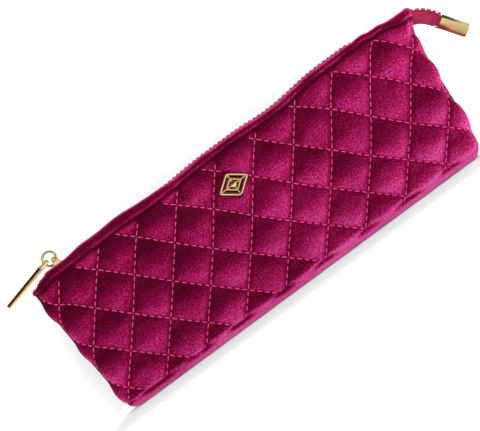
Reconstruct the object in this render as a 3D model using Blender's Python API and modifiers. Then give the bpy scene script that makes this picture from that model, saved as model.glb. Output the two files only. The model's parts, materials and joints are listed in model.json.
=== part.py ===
"""Slim quilted velvet zip bag with a pull bar, a generic emblem and a capped zip tail.

+X runs along the zip towards its tail, the front faces -Y and +Z points up to the zip.
The origin is the centre of the flat base. Lengths are in metres.
"""
import math

import bmesh
import bpy
from mathutils import Matrix, Vector

# ---- driving dimensions ---------------------------------------------------------------
BASE_HALF_LENGTH = 0.1075
TOP_LEFT = 0.1130
TOP_RIGHT = 0.1215
LIP_HEIGHT = 0.0780
BASE_HALF_DEPTH = 0.0130
LIP_HALF_DEPTH = 0.0084
PANEL_BULGE = 0.0020
CORNER_RADIUS = 0.0080

VELVET = 0.0009
BATTING = 0.0017
LINING = 0.0004
TAPE = 0.0005
GAP = 0.0003
EDGE_BEVEL = 0.0003

PANEL_COLUMNS = 16
PANEL_ROWS = 7
CORNER_STEPS = 5

PANEL_FOOT = 0.0040
FOLD_DEPTH = 0.0125
BATTING_TOP = 0.0745
LINING_TOP = 0.0750
END_WALL_TOP = 0.0755
STITCH_HEIGHT = 0.0738
STITCH_RADIUS = 0.00025
STITCH_END_GAP = 0.0020

TEETH_Z = 0.0789
TOOTH_HEIGHT = 0.0016
TOOTH_PITCH = 0.00264
TOOTH_WIDTH = 0.00095
TOOTH_REACH = 0.0005
SPINE_INNER = 0.0010
SPINE_OUTER = 0.0021
TEETH_START = -0.0920
TEETH_END = 0.1175
TAPE_START = -0.1100
TAPE_END = 0.1190
TAPE_FOOT = 0.0690

STOP_INNER = 0.0006
STOP_OUTER = 0.0021
STOP_HALF_HEIGHT = 0.0011
TOP_STOP_ENDS = (-0.1085, -0.1057)
BOTTOM_STOP_ENDS = (0.1185, 0.1210)

SLIDER_X = -0.0971
SLIDER_LENGTH = 0.0148
SLIDER_NOSE_HALF = 0.0038
SLIDER_REAR_HALF = 0.0031
PLATE = 0.0009
PLATE_HEIGHTS = (0.0772, 0.08095)
POST_X = -0.1025
POST_HALF_LENGTH = 0.0013
POST_HALF_WIDTH = 0.0005
LUG_INNER = 0.0009
LUG_OUTER = 0.0016
LUG_RADIUS = 0.0012
LUG_FOOT_HALF = 0.0018

RING_CENTRE = Vector((-0.0976, 0.0, 0.0859))
RING_RADIUS = 0.0036
RING_WIRE = 0.00065
LINK_ARM = 0.0022
SLIDER_PIN_ANGLE = math.radians(-35)
BAR_PIN_ANGLE = math.radians(190)
PIN_RADIUS = 0.0006
PIN_CLEARANCE = 0.00015
SLIDER_PIN_LENGTH = 0.0036
BAR_PIN_LENGTH = 0.0034
DRILL_LENGTH = 0.0060
BAR_LENGTH = 0.0296
BAR_HEIGHT = 0.0022
BAR_DEPTH = 0.0032
BAR_SLOT = 0.0038
BAR_DROOP = math.radians(14.4)

TAIL_START = Vector((0.1246, 0.0, 0.0732))
TAIL_TURN_RADIUS = 0.0300
TAIL_FIRST_ANGLE = math.radians(-40)
TAIL_LAST_ANGLE = math.radians(-55)
TAIL_LENGTH = 0.0214
TAIL_ROOT_HALF = 0.0022
TAIL_HALF_WIDTH = 0.0036
TAIL_END_HALF = 0.0028
TAIL_THICKNESS = 0.0014
TAIL_WIDEN_LENGTH = 0.0040
TAIL_NARROW_FROM = 0.0070
TAIL_STEPS = 7
TAIL_TEETH_DEPTH = 0.0030
TAIL_TEETH_MARGIN = 0.0006
TAIL_TEETH_ROOT = 0.0006
TAIL_TEETH_TIP = 0.0013
CAP_LENGTH = 0.0150
CAP_WIDTH = 0.0065
CAP_WALL = 0.0008
CAP_OVERLAP = 0.0115
CAP_BEVEL = 0.0002

EMBLEM_CENTRE = Vector((-0.0010, 0.0, 0.0610))
EMBLEM_HALF_WIDTH = 0.0092
EMBLEM_HALF_HEIGHT = 0.0072
EMBLEM_THICKNESS = 0.0012
EMBLEM_FRAME_INNER = 0.80
EMBLEM_RING_OUTER = 0.56
EMBLEM_RING_INNER = 0.38
EMBLEM_ARM = 0.0011
EMBLEM_BEAD = 0.0014
EMBLEM_BEAD_FLATNESS = 0.55
EMBLEM_PRONG = 0.0005
EMBLEM_STANDOFF = 0.0010
EMBLEM_BEVEL = 0.00025
EMBLEM_PRONG_PLACE = 0.88
EMBLEM_PRONG_PROUD = 0.0005
BACKING_MARGIN = 0.0020
BACKING_HALF_HEIGHT = 0.0025
BACKING_THICKNESS = 0.0004
BACKING_GAP = 0.0008

FUCHSIA = (0.42, 0.012, 0.19)
HOT_PINK = (0.62, 0.06, 0.22)
ROSE_LINING = (0.36, 0.05, 0.16)
OFF_WHITE = (0.80, 0.78, 0.74)
PALE_GOLD = (0.78, 0.58, 0.30)
STEEL = (0.60, 0.58, 0.55)

UPRIGHT = (math.pi / 2, 0.0, 0.0)
ALONG_X = (math.pi / 2, 0.0, math.pi / 2)


# ---- scene helpers --------------------------------------------------------------------
def clear_scene():
    for obj in list(bpy.data.objects):
        bpy.data.objects.remove(obj, do_unlink=True)


def new_collection(name):
    collection = bpy.data.collections.new(name)
    bpy.context.scene.collection.children.link(collection)
    return collection


def finish(name, colour, roughness, metallic):
    material = bpy.data.materials.new(name)
    material.use_nodes = True
    shader = material.node_tree.nodes["Principled BSDF"]
    shader.inputs["Base Color"].default_value = (*colour, 1.0)
    shader.inputs["Roughness"].default_value = roughness
    shader.inputs["Metallic"].default_value = metallic
    return material


def fabric(name, colour):
    return finish(name, colour, 0.85, 0.0)


def metal(name, colour=PALE_GOLD):
    return finish(name, colour, 0.22, 1.0)


def add_part(name, mesh, material, axis=None):
    """Link a node; its parent empty, if any, stands on the joint axis."""
    obj = bpy.data.objects.new(name, mesh)
    mesh.materials.clear()
    mesh.materials.append(material)
    PARTS.objects.link(obj)
    if axis is not None:
        obj.parent = axis
        obj.matrix_parent_inverse = Matrix.Translation(-axis.location)
    return obj


def add_helper(name, mesh):
    obj = bpy.data.objects.new(name, mesh)
    obj.hide_render = True
    obj.display_type = "WIRE"
    CUTTERS.objects.link(obj)
    return obj


def joint_axis(name, location, parent=None):
    empty = bpy.data.objects.new(name, None)
    empty.location = location
    PARTS.objects.link(empty)
    if parent is not None:
        empty.parent = parent
        empty.matrix_parent_inverse = Matrix.Translation(-parent.location)
    return empty


def boolean(obj, other, operation):
    modifier = obj.modifiers.new(f"{operation.lower()} {other.name}", "BOOLEAN")
    modifier.object = other
    modifier.operation = operation
    modifier.solver = "EXACT"


def bevel(obj, width, segments=2):
    modifier = obj.modifiers.new("rounded edges", "BEVEL")
    modifier.width = width
    modifier.segments = segments
    modifier.limit_method = "ANGLE"


def solidify(obj, thickness, offset):
    modifier = obj.modifiers.new("thickness", "SOLIDIFY")
    modifier.thickness = thickness
    modifier.offset = offset
    modifier.use_even_offset = True


def shade_round(mesh, angle=35):
    mesh.shade_smooth()
    mesh.set_sharp_from_angle(angle=math.radians(angle))


# ---- mesh makers ----------------------------------------------------------------------
def curve_to_mesh(curve):
    """Evaluate a curve, weld its caps and hand back a closed mesh."""
    holder = bpy.data.objects.new("outline", curve)
    bpy.context.scene.collection.objects.link(holder)
    bpy.context.view_layer.update()
    evaluated = holder.evaluated_get(bpy.context.evaluated_depsgraph_get())
    mesh = bpy.data.meshes.new_from_object(evaluated)
    shape = bmesh.new()
    shape.from_mesh(mesh)
    bmesh.ops.remove_doubles(shape, verts=shape.verts, dist=1e-6)
    bmesh.ops.recalc_face_normals(shape, faces=shape.faces)
    shape.to_mesh(mesh)
    shape.free()
    bpy.data.objects.remove(holder, do_unlink=True)
    return mesh


def set_points(spline, points):
    spline.points.add(len(points) - 1)
    for target, point in zip(spline.points, points):
        target.co = (*point, 1.0)


def flat_mesh(outline, thickness, rotation=(0.0, 0.0, 0.0), location=(0.0, 0.0, 0.0), holes=()):
    """A filled outline of (u, v) points, thickened evenly about its plane."""
    curve = bpy.data.curves.new("outline", "CURVE")
    curve.dimensions = "2D"
    curve.fill_mode = "BOTH"
    curve.extrude = thickness / 2
    for loop in (outline, *holes):
        spline = curve.splines.new("POLY")
        set_points(spline, [(u, v, 0.0) for u, v in loop])
        spline.use_cyclic_u = True
    mesh = curve_to_mesh(curve)
    turn = Matrix.LocRotScale(Vector(location), None, None)
    spin = Matrix.Rotation(rotation[2], 4, "Z") @ Matrix.Rotation(rotation[0], 4, "X")
    mesh.transform(turn @ spin)
    return mesh


def wire_mesh(points, radius, cyclic=False, resolution=2):
    curve = bpy.data.curves.new("wire", "CURVE")
    curve.dimensions = "3D"
    curve.bevel_depth = radius
    curve.bevel_resolution = resolution
    curve.use_fill_caps = True
    spline = curve.splines.new("POLY")
    set_points(spline, points)
    spline.use_cyclic_u = cyclic
    mesh = curve_to_mesh(curve)
    shade_round(mesh)
    return mesh


def rod_mesh(centre, radius, length, segments=20):
    """A cylinder lying along Y."""
    shape = bmesh.new()
    bmesh.ops.create_cone(shape, cap_ends=True, segments=segments, radius1=radius,
                          radius2=radius, depth=length,
                          matrix=Matrix.Translation(centre) @ Matrix.Rotation(math.pi / 2, 4, "X"))
    mesh = bpy.data.meshes.new("rod")
    shape.to_mesh(mesh)
    shape.free()
    shade_round(mesh)
    return mesh


def box_mesh(low, high):
    shape = bmesh.new()
    low, high = Vector(low), Vector(high)
    size = high - low
    matrix = Matrix.LocRotScale((low + high) / 2, None, size)
    bmesh.ops.create_cube(shape, size=1.0, matrix=matrix)
    mesh = bpy.data.meshes.new("box")
    shape.to_mesh(mesh)
    shape.free()
    return mesh


def grid_mesh(columns, rows, place):
    """A grid sheet; place(u, v) gives each point for u and v from 0 to 1."""
    shape = bmesh.new()
    bmesh.ops.create_grid(shape, x_segments=columns, y_segments=rows, size=0.5)
    for vertex in shape.verts:
        vertex.co = place(vertex.co.x + 0.5, vertex.co.y + 0.5)
    mesh = bpy.data.meshes.new("sheet")
    shape.to_mesh(mesh)
    shape.free()
    return mesh


# ---- the bag's form -------------------------------------------------------------------
def half_depth(z):
    """Distance from the middle plane to the outer velvet face at height z."""
    t = z / LIP_HEIGHT
    straight = BASE_HALF_DEPTH + (LIP_HALF_DEPTH - BASE_HALF_DEPTH) * t
    return straight + PANEL_BULGE * math.sin(math.pi * t)


def wall_lean(side):
    top = TOP_RIGHT if side > 0 else TOP_LEFT
    return math.atan((top - BASE_HALF_LENGTH) / LIP_HEIGHT)


def corner_centre(side):
    lean = wall_lean(side)
    inset = (CORNER_RADIUS - CORNER_RADIUS * math.sin(lean)) / math.cos(lean)
    return Vector((side * (BASE_HALF_LENGTH - inset), 0.0, CORNER_RADIUS))


def end_x(z, side):
    """Outline of the bag's end at height z: a round corner, then a leaning line."""
    lean = wall_lean(side)
    centre = corner_centre(side)
    tangent_z = centre.z - CORNER_RADIUS * math.sin(lean)
    if z >= tangent_z:
        return side * (BASE_HALF_LENGTH + z * math.tan(lean))
    return centre.x + side * math.sqrt(CORNER_RADIUS ** 2 - (z - centre.z) ** 2)


def end_path(side, inset):
    """Points of one end, from the wall's top to the base, moved inwards by inset."""
    lean = wall_lean(side)
    centre = corner_centre(side)
    radius = CORNER_RADIUS - inset
    outward = Vector((side * math.cos(lean), 0.0, -math.sin(lean)))
    upward = Vector((side * math.sin(lean), 0.0, math.cos(lean)))
    foot = centre + outward * radius
    climb = (END_WALL_TOP - foot.z) / math.cos(lean)
    points = [foot + upward * climb * step / 4 for step in (4, 3, 2, 1)]
    for step in range(CORNER_STEPS + 1):
        angle = -lean - (math.pi / 2 - lean) * step / CORNER_STEPS
        points.append(centre + Vector((side * math.cos(angle), 0.0, math.sin(angle))) * radius)
    return points


# ---- panels and base ------------------------------------------------------------------
def panel_layer(name, side, inset, thickness, top, material, axis):
    """One cloth layer of the front (side -1) or back (side +1) face."""
    def place(u, v):
        z = PANEL_FOOT + (top - PANEL_FOOT) * v
        left, right = end_x(z, -1), end_x(z, 1)
        return Vector((left + (right - left) * u, side * (half_depth(z) - inset), z))

    mesh = grid_mesh(PANEL_COLUMNS, PANEL_ROWS, place)
    mesh.shade_smooth()
    obj = add_part(name, mesh, material, axis)
    solidify(obj, thickness, side)
    return obj


def base_layer(name, inset, thickness, material, trim):
    """One cloth layer of the base and its two boxed ends, a single U-shaped strip."""
    left = end_path(-1, inset)
    right = end_path(1, inset)
    path = left + right[::-1]
    last = len(path) - 1

    def place(u, v):
        point = path[round(u * last)].copy()
        point.y = (v - 0.5) * 2 * BASE_HALF_DEPTH
        return point

    mesh = grid_mesh(last, 2, place)
    mesh.shade_smooth()
    obj = add_part(name, mesh, material)
    solidify(obj, thickness, 1)
    for cutter in trim:
        boolean(obj, cutter, "DIFFERENCE")
    return obj


def end_trimmer(side):
    """Clears the face panels' place from the boxed ends, above the base."""
    stack = VELVET + BATTING + TAPE + LINING + 4 * GAP
    heights = [PANEL_FOOT + (LIP_HEIGHT - PANEL_FOOT) * step / 6 for step in range(7)]
    floor = PANEL_FOOT - GAP
    reach = 2 * BASE_HALF_DEPTH
    outline = [(side * reach, floor)]
    outline += [(side * (half_depth(floor) - stack), floor)]
    outline += [(side * (half_depth(z) - stack), z) for z in heights[1:]]
    outline += [(side * reach, LIP_HEIGHT)]
    return add_helper(f"end_trimmer_{side:+d}", flat_mesh(outline, 4 * TOP_RIGHT, ALONG_X))


def stitch_line(name, side, axis):
    """The topstitch that runs along the lip, just off the velvet."""
    y = side * (half_depth(STITCH_HEIGHT) + GAP + STITCH_RADIUS)
    left = end_x(STITCH_HEIGHT, -1) + STITCH_END_GAP
    right = end_x(STITCH_HEIGHT, 1) - STITCH_END_GAP
    points = [(left, y, STITCH_HEIGHT), (right, y, STITCH_HEIGHT)]
    add_part(name, wire_mesh(points, STITCH_RADIUS), fabric(name, HOT_PINK), axis)


# ---- zip ------------------------------------------------------------------------------
def tape_outline(side):
    """Section of one zip tape: a flat web by the teeth and a leg down inside the lip."""
    leg_outer = VELVET + BATTING + 2 * GAP
    heights = [TAPE_FOOT + (TEETH_Z - TAPE / 2 - TAPE_FOOT) * step / 2 for step in range(3)]
    web_top = TEETH_Z + TAPE / 2
    inner_edge = SPINE_OUTER + GAP
    outline = [(side * (half_depth(z) - leg_outer), z) for z in heights]
    outline += [(side * (half_depth(web_top) - leg_outer), web_top), (side * inner_edge, web_top)]
    outline += [(side * inner_edge, heights[-1])]
    outline += [(side * (half_depth(z) - leg_outer - TAPE), z) for z in heights[::-1]]
    return outline


def zip_tape(name, side, axis):
    mesh = flat_mesh(tape_outline(side), TAPE_END - TAPE_START, ALONG_X,
                     ((TAPE_START + TAPE_END) / 2, 0.0, 0.0))
    add_part(name, mesh, fabric(name, HOT_PINK), axis)


def tooth_row(name, side, axis):
    """A spine with teeth that reach past the middle between the other row's teeth."""
    first = TEETH_START + (TOOTH_PITCH / 2 if side > 0 else 0.0)
    count = int((TEETH_END - first) / TOOTH_PITCH)
    end = first + count * TOOTH_PITCH
    outline = [(end, side * SPINE_INNER), (end, side * SPINE_OUTER), (first, side * SPINE_OUTER)]
    outline += [(first, side * SPINE_INNER)]
    for index in range(count):
        middle = first + (index + 0.5) * TOOTH_PITCH
        for x, y in ((-1.0, SPINE_INNER), (-0.8, -TOOTH_REACH), (0.8, -TOOTH_REACH), (1.0, SPINE_INNER)):
            outline.append((middle + x * TOOTH_WIDTH / 2, side * y))
    mesh = flat_mesh(outline, TOOTH_HEIGHT, location=(0.0, 0.0, TEETH_Z))
    add_part(name, mesh, fabric(name, HOT_PINK), axis)


def stop_mesh(ends, across):
    low = (ends[0], across[0], TEETH_Z - STOP_HALF_HEIGHT)
    high = (ends[1], across[1], TEETH_Z + STOP_HALF_HEIGHT)
    return box_mesh(low, high)


def top_stop(name, side, axis):
    across = sorted((side * STOP_INNER, side * STOP_OUTER))
    obj = add_part(name, stop_mesh(TOP_STOP_ENDS, across), metal(name), axis)
    bevel(obj, EDGE_BEVEL)


def bottom_stop(name):
    """The staple that ends the chain at the tail, above the right-hand boxed end."""
    mesh = stop_mesh(BOTTOM_STOP_ENDS, (-STOP_OUTER, STOP_OUTER))
    obj = add_part(name, mesh, metal(name, STEEL))
    bevel(obj, EDGE_BEVEL)


# ---- slider, ring and pull bar --------------------------------------------------------
def link_point(angle):
    return RING_CENTRE + Vector((math.cos(angle), 0.0, math.sin(angle))) * LINK_ARM


def plate_mesh(height):
    """Shield-shaped plate, wide at the nose and narrower at the rear."""
    nose = SLIDER_X - SLIDER_LENGTH / 2
    rear = SLIDER_X + SLIDER_LENGTH / 2
    half = [(nose, 0.0016), (nose + 0.0010, 0.0031), (nose + 0.0032, SLIDER_NOSE_HALF),
            (nose + 0.0062, SLIDER_NOSE_HALF), (rear - 0.0016, SLIDER_REAR_HALF), (rear, 0.0021)]
    outline = half + [(x, -y) for x, y in half[::-1]]
    return flat_mesh(outline, PLATE, location=(0.0, 0.0, height))


def lug_mesh(side, pin):
    """One ear on the top plate: straight sides under a round head."""
    foot = PLATE_HEIGHTS[1]
    outline = [(pin.x - LUG_FOOT_HALF, foot), (pin.x + LUG_FOOT_HALF, foot)]
    for step in range(9):
        angle = math.pi * step / 8
        outline.append((pin.x + LUG_RADIUS * math.cos(angle), pin.z + LUG_RADIUS * math.sin(angle)))
    middle = side * (LUG_INNER + LUG_OUTER) / 2
    return flat_mesh(outline, LUG_OUTER - LUG_INNER, UPRIGHT, (0.0, middle, 0.0))


def slider_body(axis, pin):
    name = "slider_body"
    obj = add_part(name, plate_mesh(PLATE_HEIGHTS[1]), metal(name), axis)
    post = box_mesh((POST_X - POST_HALF_LENGTH, -POST_HALF_WIDTH, PLATE_HEIGHTS[0]),
                    (POST_X + POST_HALF_LENGTH, POST_HALF_WIDTH, PLATE_HEIGHTS[1]))
    boolean(obj, add_helper("slider_lower_plate", plate_mesh(PLATE_HEIGHTS[0])), "UNION")
    boolean(obj, add_helper("slider_post", post), "UNION")
    for side in (-1, 1):
        boolean(obj, add_helper(f"slider_lug_{side:+d}", lug_mesh(side, pin)), "UNION")
    hole = rod_mesh(pin, PIN_RADIUS + PIN_CLEARANCE, DRILL_LENGTH)
    boolean(obj, add_helper("slider_pin_hole", hole), "DIFFERENCE")


def pull_ring(axis):
    points = []
    for step in range(28):
        angle = 2 * math.pi * step / 28
        points.append(RING_CENTRE + Vector((math.cos(angle), 0.0, math.sin(angle))) * RING_RADIUS)
    add_part("pull_ring", wire_mesh(points, RING_WIRE, cyclic=True), metal("pull_ring"), axis)


def pull_bar(axis, pin):
    """A square bar with a forked head; the fork straddles the ring and holds a cross pin."""
    name = "pull_bar"
    head = BAR_HEIGHT / 2
    mesh = box_mesh((-BAR_LENGTH, -BAR_DEPTH / 2, -head), (head, BAR_DEPTH / 2, head))
    slot = box_mesh((-BAR_SLOT, -LUG_INNER, -2 * head), (2 * head, LUG_INNER, 2 * head))
    turn = Matrix.Translation(pin) @ Matrix.Rotation(-BAR_DROOP, 4, "Y")
    mesh.transform(turn)
    slot.transform(turn)
    obj = add_part(name, mesh, metal(name), axis)
    bevel(obj, EDGE_BEVEL)
    boolean(obj, add_helper("bar_fork_slot", slot), "DIFFERENCE")
    hole = rod_mesh(pin, PIN_RADIUS + PIN_CLEARANCE, DRILL_LENGTH)
    boolean(obj, add_helper("bar_pin_hole", hole), "DIFFERENCE")


# ---- tail -----------------------------------------------------------------------------
def tail_line(distance):
    """Point and direction of the tail's middle line: an arc, then a straight run."""
    turn = TAIL_FIRST_ANGLE - TAIL_LAST_ANGLE
    arc = TAIL_TURN_RADIUS * turn
    bend = min(distance, arc) / TAIL_TURN_RADIUS
    angle = TAIL_FIRST_ANGLE - bend
    centre = TAIL_START + Vector((math.sin(TAIL_FIRST_ANGLE), 0.0,
                                  -math.cos(TAIL_FIRST_ANGLE))) * TAIL_TURN_RADIUS
    point = centre + Vector((-math.sin(angle), 0.0, math.cos(angle))) * TAIL_TURN_RADIUS
    direction = Vector((math.cos(angle), 0.0, math.sin(angle)))
    return point + direction * max(distance - arc, 0.0), direction


def tail_half_width(distance):
    grown = min(distance / TAIL_WIDEN_LENGTH, 1.0)
    shrunk = min(max((distance - TAIL_NARROW_FROM) / TAIL_WIDEN_LENGTH, 0.0), 1.0)
    wide = TAIL_ROOT_HALF + (TAIL_HALF_WIDTH - TAIL_ROOT_HALF) * grown
    return wide + (TAIL_END_HALF - TAIL_HALF_WIDTH) * shrunk


def tail_edge(distance, side, extra=0.0):
    point, direction = tail_line(distance)
    normal = Vector((-direction.z, 0.0, direction.x))
    spot = point + normal * side * (tail_half_width(distance) + extra)
    return spot.x, spot.z


def tail_tape(axis):
    distances = [TAIL_LENGTH * step / TAIL_STEPS for step in range(TAIL_STEPS + 1)]
    outline = [tail_edge(d, 1) for d in distances]
    outline += [tail_edge(d, -1) for d in distances[::-1]]
    for step in range(1, 6):
        angle = TAIL_FIRST_ANGLE - math.pi / 2 - math.pi * step / 6
        outline.append((TAIL_START.x + TAIL_ROOT_HALF * math.cos(angle),
                        TAIL_START.z + TAIL_ROOT_HALF * math.sin(angle)))
    mesh = flat_mesh(outline, TAIL_THICKNESS, UPRIGHT)
    add_part("tail_tape", mesh, fabric("tail_tape", HOT_PINK), axis)


def tail_teeth(axis):
    """The last closed teeth, standing along the folded tape's upper edge."""
    first = TAIL_TEETH_MARGIN
    last = TAIL_LENGTH - CAP_OVERLAP - TAIL_TEETH_MARGIN
    root, tip = GAP + TAIL_TEETH_ROOT, GAP + TAIL_TEETH_TIP
    count = int((last - first) / TOOTH_PITCH)
    outline = [tail_edge(last, 1, root)]
    outline += [tail_edge(distance, 1, GAP) for distance in (last, TAIL_WIDEN_LENGTH, first)]
    outline += [tail_edge(first, 1, root)]
    for index in range(count):
        middle = first + (index + 0.5) * (last - first) / count
        for offset, height in ((-0.8, root), (-0.56, tip), (0.56, tip), (0.8, root)):
            outline.append(tail_edge(middle + offset * TOOTH_WIDTH, 1, height))
    mesh = flat_mesh(outline, TAIL_TEETH_DEPTH, UPRIGHT)
    add_part("tail_teeth", mesh, fabric("tail_teeth", HOT_PINK), axis)


def end_cap(axis):
    """A folded metal strip: two walls beside the tape, joined by a round end."""
    inner = TAIL_THICKNESS / 2 + GAP
    outer = inner + CAP_WALL
    straight = CAP_LENGTH - outer
    fold = [(math.pi / 2 - math.pi * step / 8) for step in range(9)]
    outline = [(0.0, inner), (0.0, outer)]
    outline += [(straight + outer * math.cos(a), outer * math.sin(a)) for a in fold]
    outline += [(0.0, -outer), (0.0, -inner)]
    outline += [(straight + inner * math.cos(a), inner * math.sin(a)) for a in fold[::-1]]
    mesh = flat_mesh(outline, CAP_WIDTH)
    point, direction = tail_line(TAIL_LENGTH - CAP_OVERLAP)
    mesh.transform(Matrix.Rotation(math.pi, 4, "X"))
    turn = Matrix.Translation(point) @ Matrix.Rotation(-math.atan2(direction.z, direction.x), 4, "Y")
    mesh.transform(turn)
    obj = add_part("end_cap", mesh, metal("end_cap"), axis)
    bevel(obj, CAP_BEVEL, 1)


# ---- emblem ---------------------------------------------------------------------------
def emblem_frame():
    """Where the emblem sits: on the front face, leaning with it."""
    z = EMBLEM_CENTRE.z
    slope = (half_depth(z + 0.001) - half_depth(z - 0.001)) / 0.002
    spot = Vector((EMBLEM_CENTRE.x, -half_depth(z) - EMBLEM_STANDOFF, z))
    return Matrix.Translation(spot) @ Matrix.Rotation(math.atan(slope), 4, "X")


def lozenge(width, height):
    return [(width, 0.0), (0.0, height), (-width, 0.0), (0.0, -height)]


def window(side_x, side_z, outer, inner):
    """One opening between two lozenge edges, clear of the arms on the two axes."""
    arm = EMBLEM_ARM / 2

    def along_x(size):
        return size * EMBLEM_HALF_WIDTH * (1 - arm / (size * EMBLEM_HALF_HEIGHT))

    def along_z(size):
        return size * EMBLEM_HALF_HEIGHT * (1 - arm / (size * EMBLEM_HALF_WIDTH))

    points = [(arm, along_z(outer)), (along_x(outer), arm)]
    points += [(along_x(inner), arm), (arm, along_z(inner))] if inner else [(arm, arm)]
    return [(side_x * x, side_z * z) for x, z in points]


def bead_mesh():
    shape = bmesh.new()
    flatten = Matrix.Diagonal((1.0, EMBLEM_BEAD_FLATNESS, 1.0, 1.0))
    bmesh.ops.create_uvsphere(shape, u_segments=16, v_segments=8, radius=EMBLEM_BEAD, matrix=flatten)
    mesh = bpy.data.meshes.new("bead")
    shape.to_mesh(mesh)
    shape.free()
    shade_round(mesh)
    return mesh


def prong_spots():
    return [Vector((side * EMBLEM_HALF_WIDTH * EMBLEM_PRONG_PLACE, 0.0, 0.0)) for side in (-1, 1)]


def emblem(axis, frame):
    """Plain open lozenge in a lozenge, joined by four arms to a round bead."""
    windows = []
    for side_x in (-1, 1):
        for side_z in (-1, 1):
            windows.append(window(side_x, side_z, EMBLEM_FRAME_INNER, EMBLEM_RING_OUTER))
            windows.append(window(side_x, side_z, EMBLEM_RING_INNER, None))
    mesh = flat_mesh(lozenge(EMBLEM_HALF_WIDTH, EMBLEM_HALF_HEIGHT), EMBLEM_THICKNESS, UPRIGHT,
                     holes=windows)
    depth = EMBLEM_STANDOFF + VELVET + BATTING + 2 * GAP + EMBLEM_PRONG_PROUD
    extras = [bead_mesh()]
    for spot in prong_spots():
        middle = spot + Vector((0.0, depth / 2, 0.0))
        extras.append(rod_mesh(middle, EMBLEM_PRONG, depth, 12))
    mesh.transform(frame)
    obj = add_part("emblem", mesh, metal("emblem"), axis)
    bevel(obj, EMBLEM_BEVEL)
    for number, extra in enumerate(extras):
        extra.transform(frame)
        boolean(obj, add_helper(f"emblem_extra_{number}", extra), "UNION")


def emblem_backing(axis, frame, holes):
    """Thin washer plate that the prongs pass through, behind the batting."""
    near = EMBLEM_STANDOFF + VELVET + BATTING + BACKING_GAP
    width = EMBLEM_HALF_WIDTH + BACKING_MARGIN
    mesh = box_mesh((-width, near, -BACKING_HALF_HEIGHT),
                    (width, near + BACKING_THICKNESS, BACKING_HALF_HEIGHT))
    mesh.transform(frame)
    obj = add_part("emblem_backing", mesh, metal("emblem_backing", STEEL), axis)
    for hole in holes:
        boolean(obj, hole, "DIFFERENCE")


def prong_holes(frame):
    holes = []
    for number, spot in enumerate(prong_spots()):
        mesh = rod_mesh(spot, EMBLEM_PRONG + GAP, 2 * DRILL_LENGTH, 12)
        mesh.transform(frame)
        holes.append(add_helper(f"prong_hole_{number}", mesh))
    return holes


# ---- assembly -------------------------------------------------------------------------
def build_base():
    trim = [end_trimmer(-1), end_trimmer(1)]
    base_layer("base_velvet", 0.0, VELVET, fabric("base_velvet", FUCHSIA), trim)
    base_layer("base_batting", VELVET + GAP, BATTING, fabric("base_batting", OFF_WHITE), trim)
    base_layer("base_lining", VELVET + BATTING + 2 * GAP, LINING,
               fabric("base_lining", ROSE_LINING), trim)
    bottom_stop("zip_bottom_stop")


def build_face(word, side):
    """Every layer and zip half of one face, hung on its fold line at the base."""
    axis = joint_axis(f"{word}_mouth_axis", Vector((0.0, side * FOLD_DEPTH, PANEL_FOOT)))
    inner = VELVET + BATTING + TAPE + 3 * GAP
    name = f"{word}_velvet"
    velvet = panel_layer(name, side, 0.0, VELVET, LIP_HEIGHT, fabric(name, FUCHSIA), axis)
    name = f"{word}_batting"
    batting = panel_layer(name, side, VELVET + GAP, BATTING, BATTING_TOP,
                          fabric(name, OFF_WHITE), axis)
    name = f"{word}_lining"
    panel_layer(name, side, inner, LINING, LINING_TOP, fabric(name, ROSE_LINING), axis)
    stitch_line(f"{word}_topstitch", side, axis)
    zip_tape(f"{word}_zip_tape", side, axis)
    tooth_row(f"{word}_zip_teeth", side, axis)
    top_stop(f"{word}_top_stop", side, axis)
    return axis, velvet, batting


def build_emblem(axis, velvet, batting):
    frame = emblem_frame()
    holes = prong_holes(frame)
    for layer in (velvet, batting):
        for hole in holes:
            boolean(layer, hole, "DIFFERENCE")
    emblem(axis, frame)
    emblem_backing(axis, frame, holes)


def build_slider():
    slider_pin = link_point(SLIDER_PIN_ANGLE)
    bar_pin = link_point(BAR_PIN_ANGLE)
    slide_axis = joint_axis("slider_slide_axis", Vector((SLIDER_X, 0.0, TEETH_Z)))
    ring_axis = joint_axis("ring_swing_axis", slider_pin, slide_axis)
    bar_axis = joint_axis("bar_swing_axis", bar_pin, ring_axis)
    slider_body(slide_axis, slider_pin)
    add_part("slider_pin", rod_mesh(slider_pin, PIN_RADIUS, SLIDER_PIN_LENGTH), metal("slider_pin"), slide_axis)
    pull_ring(ring_axis)
    pull_bar(bar_axis, bar_pin)
    add_part("bar_pin", rod_mesh(bar_pin, PIN_RADIUS, BAR_PIN_LENGTH), metal("bar_pin"), bar_axis)


def build_tail():
    axis = joint_axis("tail_flex_axis", TAIL_START)
    tail_tape(axis)
    tail_teeth(axis)
    end_cap(axis)


clear_scene()
PARTS = new_collection("makeup_bag")
CUTTERS = new_collection("cutters")
build_base()
front_axis, front_velvet, front_batting = build_face("front", -1)
build_face("back", 1)
build_emblem(front_axis, front_velvet, front_batting)
build_slider()
build_tail()
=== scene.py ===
"""Looks for the quilted velvet zip bag: cloth, thread, zip and gold fittings round the fixed frame.

Lengths are in millimetres until a mesh is made. x runs along the zip, z is up. "out" is the
distance from the middle plane, so the front face has y = -out and the back face y = +out.
"""

import json
import math

import bmesh
import bpy
import numpy as np
from mathutils import Matrix, Vector

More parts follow.
